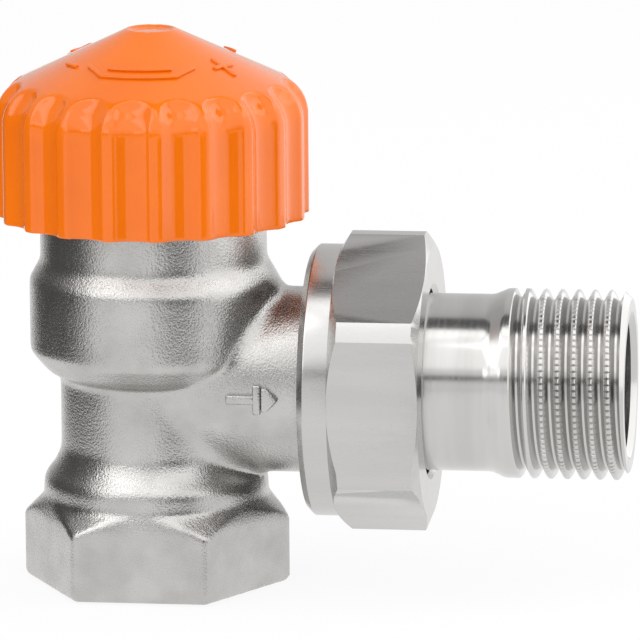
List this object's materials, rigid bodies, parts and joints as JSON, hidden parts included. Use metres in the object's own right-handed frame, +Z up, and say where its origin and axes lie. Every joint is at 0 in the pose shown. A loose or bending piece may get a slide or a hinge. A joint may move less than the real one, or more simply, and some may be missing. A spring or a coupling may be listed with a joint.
{
  "type": "radiator valve",
  "caption": "Angle radiator valve body with a hexagon inlet socket, a fluted screw cap over its head, a spring-open seat valve inside, and a union nut holding a threaded tailpiece.",
  "frame": {"origin": "centre of the inlet face, where the supply pipe enters", "axes": "+Z up the valve axis towards the cap, +X along the outlet towards the radiator, +Y completes the right-handed set"},
  "size_m": [0.0702, 0.0344, 0.0622],
  "materials": {
    "nickel_cast": "satin",
    "nickel_turned": "satin",
    "cap_plastic": "satin",
    "insert_brass": "satin",
    "sleeve_plastic": "matte",
    "dial_plastic": "satin",
    "seal_rubber": "matte",
    "stainless": "satin"
  },
  "bodies": {
    "valve": {"valve_body": "nickel_cast", "insert_housing": "insert_brass", "housing_o_ring": "seal_rubber"},
    "setting": {"setting_stem": "insert_brass", "stem_o_ring": "seal_rubber", "stem_clip": "stainless", "throttle_sleeve": "sleeve_plastic", "setting_dial": "dial_plastic", "gland_nut": "insert_brass", "gland_o_ring_lower": "seal_rubber", "gland_o_ring_upper": "seal_rubber", "return_spring": "stainless"},
    "spindle": {"pressure_pin": "stainless", "spindle": "stainless", "spindle_clip": "stainless", "spring_washer": "stainless", "disc_carrier": "insert_brass", "disc_seal": "seal_rubber", "disc_nut": "insert_brass"},
    "cap": {"protective_cap": "cap_plastic"},
    "tail": {"tailpiece": "nickel_turned"},
    "nut": {"union_nut": "nickel_turned"}
  },
  "joints": [
    {"name": "setting_turn", "type": "hinge", "parent": "valve", "child": "setting", "pos_m": [0, 0, 0.04], "axis": [0, 0, 1], "range_deg": [0, 300]},
    {"name": "spindle_lift", "type": "slide", "parent": "valve", "child": "spindle", "axis": [0, 0, 1], "range_m": [-0.0025, 0], "deforming": ["return_spring"]},
    {"name": "cap_turn", "type": "hinge", "parent": "spindle", "child": "cap", "pos_m": [0, 0, 0.05], "axis": [0, 0, 1], "range_deg": [-600, 0]},
    {"name": "tailpiece_slide", "type": "slide", "parent": "valve", "child": "tail", "axis": [1, 0, 0], "range_m": [0, 0.00726]},
    {"name": "union_nut_turn", "type": "hinge", "parent": "tail", "child": "nut", "pos_m": [0.025, 0, 0.023], "axis": [1, 0, 0], "range_deg": [0, 1440]}
  ],
  "couplings": [
    {"joint": "spindle_lift", "follows": "cap_turn", "m_per_rad": 0.00023873},
    {"joint": "tailpiece_slide", "follows": "union_nut_turn", "m_per_rad": 0.00028871}
  ]
}
